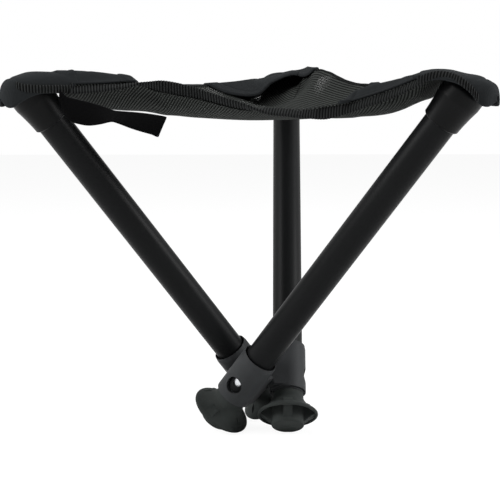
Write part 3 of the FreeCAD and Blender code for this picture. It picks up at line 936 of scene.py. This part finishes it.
def declare_sheet(item):
    """Works out a sheet's flat size, as a rectangle about its plan, and half its skin as area, but
    stores neither.
    """
    corners = [v.co for v in item.data.vertices]
    width = max(c.x for c in corners) - min(c.x for c in corners)
    depth = max(c.y for c in corners) - min(c.y for c in corners)
    area = sum(face.area for face in item.data.polygons) * 0.5
    scale = math.sqrt(max(1.0, area / (width * depth))) * CUT_MARGIN
    share = area / (width * depth * scale ** 2)
    if share < LEAST_SHARE:
        scale *= math.sqrt(share / LEAST_SHARE)


def press(item):
    """Gives a soft piece its own copy of its mesh."""
    HUB_HEIGHT * MM
    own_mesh(item)


def declare(item, body, node):
    """Parents a piece to the body it moves with, and hides the node it stands for."""
    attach(item, body)
    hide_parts(node)


# Operators

class STOOL_OT_frame(bpy.types.Operator):
    """Give each solid of the legs and the hub its finish"""

    bl_idname = "stool.finish_frame"
    bl_label = "Finish Legs and Hub"

    def execute(self, context):
        looks = finishes()
        moulded = moulded_finish("moulded_plastic", looks.moulding, 1.0, 0.55)
        cap = moulded_finish("cap_plastic", looks.cap, 0.5, 0.4)
        slide = moulded_finish("slide_plastic", looks.slide, 0.4, 0.45)
        coating = coated_finish()
        bright = steel_finish("bright_steel", 1.0, 0.28)
        strip = steel_finish("spring_steel", 0.7, 0.35)
        bare = {side: aluminium_finish(side) for side in HEADINGS}
        plan = {
            "hub": moulded, "pivot_screws": bright, "pivot_washers": slide, "collar": moulded,
            "upper_tube": coating, "top_cap": cap, "middle_bush": slide,
            "middle_ferrule": moulded, "middle_spring": strip, "middle_button": bright,
            "lower_bush": slide, "lower_spring": strip, "lower_button": bright,
        }
        for name, item in frame["nodes"].items():
            kind, _, side = name.rpartition("_")
            if kind in ("middle_tube", "lower_tube"):
                material = bare[side]
            else:
                material = plan.get(kind if side in HEADINGS else name)
            if material is None:
                continue
            item.data.materials.clear()
            item.data.materials.append(material)
        return {"FINISHED"}


class STOOL_OT_feet(bpy.types.Operator):
    """Make the three flared rubber feet"""

    bl_idname = "stool.make_feet"
    bl_label = "Make Feet"

    # The webs between plug and skirt: how many, half their width, and radius and height round one
    WEBS = 4
    WEB_HALF = 3.7
    WEB = [(11.5, -26.0), (18.0, -29.3), (23.0, -35.6), (22.4, -37.2), (11.5, -45.4)]

    def execute(self, context):
        material = rubber_finish()
        for side in HEADINGS:
            self.foot(side, material)
        return {"FINISHED"}

    @staticmethod
    def bowed(start, end, steps, bow):
        """Points of a hollow curve from one (radius, height) to another, without its ends."""
        points = []
        for step in range(1, steps):
            share = step / steps
            inward = math.sin(math.pi * share) * bow
            points.append(tuple(a + (b - a) * share - inward for a, b in zip(start, end)))
        return points

    def profile(self):
        """Closed outline of the foot: neck, bell skirt with a rolled lip, hollow and plug."""
        bore, neck, top = 9.52, 13.15, -18.5
        flare, rim, skirt, lip = -24.0, -36.85, 25.0, 1.3
        plug, edge, plug_end = 13.5, 2.0, -47.6
        skirt_bow, hollow_bow = 0.972, 0.84
        points = [(bore, top), (neck - 0.8, top), (neck - 0.2, top - 0.3), (neck, top - 0.9)]
        points += [(neck, flare + 1.0)]
        points += self.bowed((neck, flare), (skirt - 0.35, rim + 1.2), 15, skirt_bow)
        for step in range(9):
            angle = math.radians(50 - 230 * step / 8)
            points.append((skirt - lip + lip * math.cos(angle), rim + lip * math.sin(angle)))
        inner = (skirt - 2 * lip, rim + 0.2)
        points += self.bowed(inner, (plug, flare - 2.4), 10, hollow_bow)
        points += [(plug, flare - 2.8), (plug, plug_end + edge)]
        for step in range(1, 5):
            angle = math.radians(90 * step / 5)
            points.append((
                plug - edge + edge * math.cos(angle), plug_end + edge - edge * math.sin(angle)
            ))
        points += [(plug - edge, plug_end), (0.01, plug_end)]
        points += [(0.01, plug_end + 4), (bore, plug_end + 4)]
        points.append(points[0])
        return points

    def foot(self, side, material):
        points, faces = turned_solid(self.profile())
        count = len(self.WEB)
        for number in range(self.WEBS):
            angle = 360.0 * number / self.WEBS
            start = len(points)
            for half in (-self.WEB_HALF, self.WEB_HALF):
                for radius, height in self.WEB:
                    points.append(Vector((*turned(radius, half, angle), height)))
            faces.append(tuple(start + i for i in range(count)))
            faces.append(tuple(start + count + i for i in reversed(range(count))))
            for i in range(count):
                j = (i + 1) % count
                faces.append((start + i, start + count + i, start + count + j, start + j))
        placed = [leg_to_world(p.x, p.y, p.z, side) for p in points]
        item = make_object("rubber_foot_" + side, placed, faces, material)
        work = bmesh.new()
        work.from_mesh(item.data)
        bmesh.ops.remove_doubles(work, verts=work.verts, dist=0.00001)
        geometry = work.verts[:] + work.edges[:] + work.faces[:]
        cut = bmesh.ops.bisect_plane(
            work, geom=geometry, plane_co=(0, 0, 0), plane_no=(0, 0, -1), clear_outer=True
        )
        edges = [e for e in cut["geom_cut"] if isinstance(e, bmesh.types.BMEdge)]
        bmesh.ops.holes_fill(work, edges=edges, sides=0)
        bmesh.ops.recalc_face_normals(work, faces=work.faces)
        work.to_mesh(item.data)
        work.free()
        item.data.shade_smooth()
        item.data.set_sharp_from_angle(angle=math.radians(40))
        declare(item, "lower_stage_" + side, "foot_" + side)
        press(item)


class STOOL_OT_mesh(bpy.types.Operator):
    """Make the knitted mesh, one third for each leg"""

    bl_idname = "stool.make_mesh"
    bl_label = "Make Seat Mesh"

    # Rays along half an edge, the share of a ray where the mesh starts, and its thickness
    SPOKES = 56
    MIDDLE = 0.004
    THICKNESS = 0.8

    def execute(self, context):
        material = knit_finish()
        rings = seat_values().rings
        for side in HEADINGS:
            centre, ends = spokes(side, self.SPOKES)
            grid, lengths = [], []
            for end in ends:
                line = []
                for ring in range(rings + 1):
                    share = self.MIDDLE + (1 - self.MIDDLE) * ring / rings
                    p = centre.lerp(end, share)
                    line.append(Vector((p.x, p.y, mesh_height(p.x, p.y) - self.THICKNESS)))
                grid.append(line)
                lengths.append(run_lengths(line))

            def cloth_uv(i, j):
                ahead = (ends[i] - centre).normalized() * lengths[i][j]
                return ahead.x, ahead.y

            item = thick_sheet("knit_mesh_" + side, grid, self.THICKNESS, material, uv=cloth_uv)
            declare(item, "seat_third_" + side, "seat_mesh_" + side)
            declare_sheet(item)
            press(item)
        return {"FINISHED"}


class STOOL_OT_patches(bpy.types.Operator):
    """Make the cloth patches that cover the seat's corners"""

    bl_idname = "stool.make_patches"
    bl_label = "Make Corner Patches"

    # Rays along half an edge, steps along a ray, and the share past which a ray holds no patch
    SPOKES = 90
    STEPS = 44
    LEAST = 0.985
    # The patch's rise above the seat's surface
    RISE = 0.9
    # The rolled hem: how thick it is, and where it starts and ends
    ROLL = 1.5
    ROLL_START = (-0.5, 1.5)
    ROLL_END = (6.5, 8.5)
    # The stitched groove beside it: distance from the hem, depth and width
    GROOVE = (8.6, 0.7, 0.7)

    def execute(self, context):
        material = finish("plain_cloth", plain_cloth_finish)
        cloth = seat_values().cloth_thickness / MM
        for side in HEADINGS:
            centre, ends = spokes(side, self.SPOKES)
            grid, reach = [], []
            for end in ends:
                limit = spoke_hem(centre, end, side)
                if limit >= self.LEAST:
                    continue
                line, away = [], []
                length = (end - centre).length
                for step in range(self.STEPS + 1):
                    share = limit + (1.0 - limit) * step / self.STEPS
                    p = centre.lerp(end, share)
                    line.append(Vector((p.x, p.y, seat_height(p.x, p.y) + self.RISE)))
                    away.append((share - limit) * length)
                grid.append(line)
                reach.append(away)

            def thick(i, j):
                gap = reach[i][j]
                roll = self.ROLL * (1 - smooth(*self.ROLL_END, gap)) * smooth(*self.ROLL_START, gap)
                away, deep, wide = self.GROOVE
                return cloth + roll - deep * math.exp(-((gap - away) / wide) ** 2)

            item = thick_sheet("corner_cloth_" + side, grid, thick, material)
            declare(item, "seat_third_" + side, "corner_patch_" + side)
            declare_sheet(item)
            press(item)
        return {"FINISHED"}


class STOOL_OT_tapes(bpy.types.Operator):
    """Make the ribbed tape along the seat's edges"""

    bl_idname = "stool.make_tapes"
    bl_label = "Make Edge Tape"

    # Steps along half an edge
    STATIONS = 420
    # Half the tape's thickness, and what a rib adds to it and to half the width
    THICK = 1.15
    RIB_RISE = 0.3
    RIB_SPREAD = 0.2
    # The size of the tape's wobble, and its pace along the tape
    WOBBLE = 0.35
    WOBBLE_PACE = 0.09

    def execute(self, context):
        material = finish("ribbed_tape", tape_finish)
        rib = seat_values().tape_rib / MM
        for side in HEADINGS:
            first, second = LEG_EDGES[side]
            runs = [self.run(first, 0.5, rib), self.run(second, 0.0, rib)]
            item = tape_object("edge_tape_" + side, runs, material)
            declare(item, "seat_third_" + side, "edge_binding_" + side)
            press(item)
        return {"FINISHED"}

    def run(self, name, start, rib):
        """Rings round the tape along half an edge, from one place on it."""
        rows = tape_rows(name)
        stations = self.STATIONS
        free, sewn = [], []
        for step in range(stations + 1):
            share = start + 0.5 * step / stations
            x, y = edge_point(name, share)
            free.append(Vector((x, y, between(rows, share, 1))))
            x, y = edge_point(name, share, tape_inset(name, share))
            sewn.append(Vector((x, y, between(rows, share, 2))))
        middle = [(a + b) / 2 for a, b in zip(free, sewn)]
        lengths = run_lengths(middle)
        rings, places = [], []
        for number in range(stations + 1):
            ahead = middle[min(number + 1, stations)] - middle[max(number - 1, 0)]
            across = sewn[number] - free[number]
            half = across.length / 2
            across.normalize()
            up = ahead.cross(across).normalized()
            wave = 0.5 + 0.5 * math.cos(2 * math.pi * lengths[number] / rib)
            place = Vector((lengths[number] * self.WOBBLE_PACE, ord(name[-1]), 0.0))
            wobble = noise.noise(place) * self.WOBBLE
            thick = self.THICK + self.RIB_RISE * wave + 0.1 * wobble
            ring, marks = [], []
            for wide, high in tape_section(0.45, 0.8):
                ring.append(
                    middle[number] + across * (half + self.RIB_SPREAD * wave) * wide
                    + up * (thick * high + wobble)
                )
                marks.append((lengths[number], half * wide + (UNDERSIDE if high < 0 else 0.0)))
            rings.append(ring)
            places.append(marks)
        return rings, places


class STOOL_OT_pockets(bpy.types.Operator):
    """Make the cloth hoods that hold the leg tops"""

    bl_idname = "stool.make_pockets"
    bl_label = "Make Corner Pockets"

    # Steps of the search for a height round a hood's section
    HALVINGS = 18
    # The power that crowds the sections at the tip, and the powers that square one across and up
    CROWD = 1.1
    SECTION = (0.62, 0.75)
    # The pace of the cloth's folds along the hood and round it
    FOLDS = (0.07, 3.2)
    # The tuck near the tip: where it may start, its middle, its width and its depth
    TUCK = (192.0, 199.5, 1.3, 0.9)
    # Where the seat's surface turns into the hood, and how far the hood lies above it there
    ONTO = (157.0, 168.0)
    OVER = 1.6
    # Outward station, half width, top, and the rim's height on the hub side and the far side
    HOODS = {
        "right": [
            (158.0, 26.6, 250.2, 240.5, 236.5), (165.0, 26.2, 251.0, 242.5, 235.5),
            (172.0, 25.4, 250.8, 244.2, 233.0), (178.0, 24.6, 249.8, 244.6, 231.5),
            (185.0, 23.2, 248.2, 243.2, 229.5), (192.0, 21.2, 246.6, 240.6, 227.5),
            (199.0, 18.4, 244.8, 234.6, 226.0), (204.0, 15.0, 242.8, 227.6, 225.6),
            (208.5, 10.5, 240.0, 225.6, 226.0), (211.5, 3.0, 233.5, 229.0, 229.0),
        ],
        "rear": [
            (158.0, 26.6, 248.0, 237.0, 237.0), (165.0, 26.2, 250.0, 235.5, 235.5),
            (172.0, 25.4, 251.2, 233.0, 233.0), (178.0, 24.6, 251.0, 231.5, 231.5),
            (185.0, 23.2, 250.0, 229.5, 229.5), (192.0, 21.0, 248.2, 227.5, 227.5),
            (199.0, 17.6, 245.4, 226.0, 226.0), (204.5, 13.4, 241.6, 225.5, 225.5),
            (208.5, 8.0, 236.0, 227.0, 227.0), (210.0, 2.0, 231.0, 230.0, 230.0),
        ],
        "left": [
            (158.0, 26.6, 249.2, 236.0, 235.2), (165.0, 26.2, 250.0, 235.0, 235.2),
            (172.0, 25.4, 250.4, 233.0, 235.3), (178.0, 24.6, 250.2, 231.5, 235.4),
            (185.0, 23.0, 249.8, 229.5, 235.0), (192.0, 20.4, 248.2, 227.5, 232.8),
            (199.0, 16.8, 246.0, 226.0, 228.6), (204.0, 13.0, 243.0, 225.0, 224.8),
            (207.0, 8.0, 237.6, 226.0, 225.4), (208.5, 2.0, 231.0, 230.0, 230.0),
        ],
    }
    # The rim tape's middle, by how far out, on the hub side and the far side of each hood
    TAPES = {
        "right": (
            [(162.0, 242.8), (166.0, 244.6), (172.0, 246.7), (178.0, 247.0), (185.0, 245.6),
             (192.0, 242.6), (199.0, 236.6), (203.0, 230.8)],
            [(162.0, 240.0), (178.0, 235.0), (190.0, 232.4), (197.0, 232.0)],
        ),
        "rear": (
            [(162.0, 244.0), (170.0, 242.0), (178.0, 238.0), (190.0, 233.0), (200.0, 229.6)],
            [(162.0, 239.6), (178.0, 234.6), (190.0, 231.4), (200.0, 229.6)],
        ),
        "left": (
            [(162.0, 239.5), (178.0, 235.0), (190.0, 232.4), (197.0, 232.0)],
            [(162.0, 237.8), (178.0, 237.8), (190.0, 237.9), (196.0, 238.6), (201.0, 240.4)],
        ),
    }

    def execute(self, context):
        material = finish("plain_cloth", plain_cloth_finish)
        tape = finish("ribbed_tape", tape_finish)
        cloth = seat_values().cloth_thickness / MM
        for side in HEADINGS:
            rows = self.HOODS[side]
            grid = []
            stations, spread = 60, 48
            start, end = rows[0][0], rows[-1][0]
            for step in range(stations + 1):
                out = start + (end - start) * math.sin(math.pi / 2 * step / stations) ** self.CROWD
                grid.append([
                    self.spot(rows, out, turn / spread, side) for turn in range(spread + 1)
                ])
            item = thick_sheet("pocket_cloth_" + side, grid, cloth, material)
            declare(item, "leg_" + side, "seat_pocket_" + side)
            rims = []
            for way, table in enumerate(self.TAPES[side]):
                rim = self.rim_tape(rows, table, way, side, tape)
                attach(rim, "leg_" + side)
                rims.append(rim)
            declare_sheet(item)
            for piece in [item] + rims:
                press(piece)
        return {"FINISHED"}

    def spot(self, rows, out, share, side):
        """A point of the hood: share 0 is the far side's rim, and 1 the hub side's."""
        half = between(rows, out, 1)
        top = between(rows, out, 2)
        low = between(rows, out, 3) * (1 - share) + between(rows, out, 4) * share
        angle = math.pi * share
        wide = -squarer(math.cos(angle), self.SECTION[0])
        high = abs(math.sin(angle)) ** self.SECTION[1]
        fold = noise.noise(Vector((out * self.FOLDS[0], share * self.FOLDS[1], HEADINGS[side])))
        start, at, width, deep = self.TUCK
        tuck = 0.0
        if out > start:
            tuck = -deep * math.exp(-((out - at) / width) ** 2) * high
        p = seat_to_world(
            out, half * wide - LEG_OFFSET, low + (top - low) * high + fold * high + tuck, side
        )
        onto = smooth(*self.ONTO, out)
        p.z = p.z * onto + (seat_height(p.x, p.y) + self.OVER) * (1 - onto)
        return p

    def at_height(self, rows, out, height, way, side):
        """The place round a hood's section, on one side of it, where it has a height."""
        low, high = (0.0, 0.5) if way == 0 else (1.0, 0.5)
        for _ in range(self.HALVINGS):
            middle = (low + high) / 2
            if self.spot(rows, out, middle, side).z < height:
                low = middle
            else:
                high = middle
        return low

    def rim_tape(self, rows, table, way, side, material):
        """Ribbed tape along one side of a hood, curled under at its end."""
        rib = seat_values().tape_rib / MM
        start, end = table[0][0], table[-1][0]
        steps, nudge = 200, 0.03 if way == 0 else -0.03
        path = []
        for step in range(steps + 1):
            out = start + (end - start) * math.sin(math.pi / 2 * step / steps)
            share = self.at_height(rows, out, between(table, out, 1), way, side)
            above = self.spot(rows, out, share + nudge, side)
            below = self.spot(rows, out, clamp(share - nudge), side)
            path.append((self.spot(rows, out, share, side), above - below))
        rings, places = [], []
        length, half = 0.0, 3.0
        centre = seat_to_world(0.0, -LEG_OFFSET, 0.0, side)
        for number, (spot, lift) in enumerate(path):
            before = path[max(number - 1, 0)][0]
            after = path[min(number + 1, steps)][0]
            length += (spot - before).length
            lift = (lift.normalized() + Vector((0, 0, 0.8))).normalized()
            out = (after - before).cross(lift).normalized()
            away = spot - centre
            if out.dot(Vector((away.x, away.y, 0.0))) < 0:
                out = -out
            wave = 0.5 + 0.5 * math.cos(2 * math.pi * length / rib)
            fade = 1 - 0.75 * smooth(steps - 12, steps, number)
            ring, marks = [], []
            for tall, deep in tape_section(0.5, 0.8):
                ring.append(
                    spot + lift * tall * (half + 0.15 * wave) * fade
                    + out * (0.7 + deep * (1.2 + 0.3 * wave)) * fade
                )
                marks.append((length, half * tall + (UNDERSIDE if deep < 0 else 0.0)))
            rings.append(ring)
            places.append(marks)
        name = "pocket_tape_" + side + ("_near" if way == 0 else "_far")
        return tape_object(name, [(rings, places)], material)


class STOOL_OT_strap(bpy.types.Operator):
    """Make the closing strap that hangs from the left pocket"""

    bl_idname = "stool.make_strap"
    bl_label = "Make Closing Strap"

    # x, y, lower edge, upper edge, and how far the lower edge leans to the front
    ROUTE = [
        (-147.0, -89.6, 229.0, 236.0, 0.0), (-143.0, -89.9, 219.0, 232.0, 4.0),
        (-138.0, -90.4, 214.6, 230.4, 6.0), (-130.0, -91.0, 212.2, 228.5, 6.5),
        (-124.0, -91.4, 211.6, 227.0, 7.0), (-116.0, -91.6, 212.6, 224.6, 9.0),
        (-107.0, -91.4, 214.4, 221.6, 11.0), (-103.0, -91.2, 213.4, 221.0, 10.5),
        (-91.0, -90.8, 208.8, 220.0, 8.5), (-78.0, -90.2, 204.8, 218.4, 6.0),
        (-71.0, -89.8, 202.8, 216.6, 5.0),
    ]
    # The slanted end and the x where it starts and is full
    SLANT = 6.0
    SLANT_AT = (-79.0, -70.0)
    # How far the strap bows out across its width, and its thickness
    BOW = 0.8
    THICKNESS = 1.5
    # Cloth coordinates of one step along the strap and one across it
    CLOTH_STEPS = (0.85, 1.3)

    def execute(self, context):
        material = webbing_finish()
        rows = self.ROUTE
        grid = []
        stations, across = 90, 14
        for step in range(stations + 1):
            x = rows[0][0] + (rows[-1][0] - rows[0][0]) * step / stations
            y, low, high, lean = (between(rows, x, column) for column in (1, 2, 3, 4))
            slant = self.SLANT * smooth(*self.SLANT_AT, x)
            line = []
            for turn in range(across + 1):
                share = turn / across
                bow = math.sin(math.pi * share) * self.BOW
                line.append(Vector((
                    x + slant * (share - 0.5), y - lean * (1 - share) - bow,
                    low + (high - low) * share,
                )))
            grid.append(line)
        along, up = self.CLOTH_STEPS
        item = thick_sheet("closing_webbing", grid, self.THICKNESS, material,
                           uv=lambda i, j: (i * along, j * up))
        declare(item, "leg_left", "closing_strap")
        declare_sheet(item)
        press(item)
        return {"FINISHED"}


# The camera's yaw, pitch and roll in degrees, and its place about the hub in metres
CAMERA_TURN = (1.26, -7.69, -0.13)
CAMERA_PLACE = (0.0147, -1.0141, 0.2418)


class STOOL_OT_stage(bpy.types.Operator):
    """Make the floor, the lamps and the camera"""

    bl_idname = "stool.make_stage"
    bl_label = "Make Stage"

    # The floor's own light where the camera sees it, and its share there
    GLOW = 1.07
    GLOW_SHARE = 0.86
    # Each lamp's name, its place and width in metres, and its share of the key light
    LAMPS = [
        ("key_lamp", (-1.5, -0.45, 1.15), 1.0, 1.0),
        ("side_lamp", (1.5, -0.15, 0.8), 0.8, 0.8),
        ("top_lamp", (0.0, 0.4, 1.8), 1.3, 0.6),
    ]
    # The place that every lamp faces
    AIM = (0, 0, 0.17)

    def execute(self, context):
        self.floor()
        self.lamps()
        self.camera()
        context.scene.view_settings.view_transform = "Standard"
        return {"FINISHED"}

    def floor(self):
        looks = bpy.context.scene.stool_studio
        board = Board("studio_floor")
        grain = board.noise(30.0, 2.0, 0.5)
        board.set(
            Base_Color=board.blend(grain * 0.02, looks.floor, tint(looks.floor, 0.96)),
            Roughness=0.85,
        )
        seen = board.node("ShaderNodeLightPath", out="Is Camera Ray") * self.GLOW_SHARE
        values = {"Color": looks.floor, "Strength": self.GLOW}
        board.mix_out(seen, board.node("ShaderNodeEmission", values))
        mesh = bpy.data.meshes.new("studio_floor")
        mesh.from_pydata([(-4, -4, 0), (4, -4, 0), (4, 4, 0), (-4, 4, 0)], [], [(0, 1, 2, 3)])
        mesh.materials.append(board.owner)
        item = bpy.data.objects.new("studio_floor", mesh)
        bpy.context.scene.collection.objects.link(item)

    def lamps(self):
        studio = bpy.context.scene.stool_studio
        for name, place, size, factor in self.LAMPS:
            light = bpy.data.lights.new(name, "AREA")
            light.shape = "SQUARE"
            light.size = size
            light.energy = studio.key * factor
            item = bpy.data.objects.new(name, light)
            bpy.context.scene.collection.objects.link(item)
            item.location = place
            aim = Vector(self.AIM) - Vector(place)
            item.rotation_mode = "QUATERNION"
            item.rotation_quaternion = aim.to_track_quat("-Z", "Y")
        world = Board("studio_world", "worlds", "Background", "World")
        bpy.context.scene.world = world.owner
        world.set(Color=(1, 1, 1), Strength=studio.fill)
        share = world.node("ShaderNodeLightPath", out="Is Camera Ray")
        for kind in ("Is Glossy Ray", "Is Transmission Ray"):
            share = share.maths("MAXIMUM", share, world.node("ShaderNodeLightPath", out=kind))
        values = {"Color": (1, 1, 1), "Strength": 1.0}
        world.mix_out(share, world.node("ShaderNodeBackground", values))

    @staticmethod
    def camera():
        data = bpy.data.cameras.new("photo_camera")
        data.sensor_width = 36.0
        data.lens = bpy.context.scene.stool_studio.lens
        data.clip_start, data.clip_end = 0.05, 50.0
        item = bpy.data.objects.new("photo_camera", data)
        bpy.context.scene.collection.objects.link(item)
        yaw, pitch, roll = (math.radians(value) for value in CAMERA_TURN)
        ahead = Vector((
            -math.sin(yaw) * math.cos(pitch), math.cos(yaw) * math.cos(pitch), math.sin(pitch)
        ))
        right = Vector((math.cos(yaw), math.sin(yaw), 0.0))
        up = right.cross(ahead)
        over = right * math.cos(roll) + up * math.sin(roll)
        rise = up * math.cos(roll) - right * math.sin(roll)
        place = Matrix((over, rise, -ahead)).transposed().to_4x4()
        across, away, above = CAMERA_PLACE
        place.translation = Vector((across, away, above + HUB_HEIGHT * MM))
        item.matrix_world = place
        bpy.context.scene.camera = item


class STOOL_PT_panel(bpy.types.Panel):
    bl_label = "Folding Stool"
    bl_idname = "STOOL_PT_panel"
    bl_space_type = "VIEW_3D"
    bl_region_type = "UI"
    bl_category = "Stool"

    def draw(self, context):
        for step in STEPS:
            self.layout.operator(step.bl_idname)
        for group in ("stool_finishes", "stool_seat", "stool_studio"):
            values = getattr(context.scene, group)
            box = self.layout.box()
            for name in values.__annotations__:
                box.prop(values, name)


GROUPS = {
    "stool_finishes": StoolFinishes, "stool_seat": StoolSeat, "stool_studio": StoolStudio,
}
STEPS = (
    STOOL_OT_frame, STOOL_OT_feet, STOOL_OT_mesh, STOOL_OT_patches, STOOL_OT_tapes,
    STOOL_OT_pockets, STOOL_OT_strap, STOOL_OT_stage,
)


def register():
    for group in GROUPS.values():
        bpy.utils.register_class(group)
    for name, group in GROUPS.items():
        setattr(bpy.types.Scene, name, PointerProperty(type=group))
    for item in STEPS + (STOOL_PT_panel,):
        bpy.utils.register_class(item)


def unregister():
    for item in reversed(STEPS + (STOOL_PT_panel,)):
        bpy.utils.unregister_class(item)
    for name, group in reversed(GROUPS.items()):
        delattr(bpy.types.Scene, name)
        bpy.utils.unregister_class(group)


def main():
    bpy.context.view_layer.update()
    register()
    for step in STEPS:
        group, name = step.bl_idname.split(".")
        getattr(getattr(bpy.ops, group), name)()


if __name__ == "__main__":
    main()
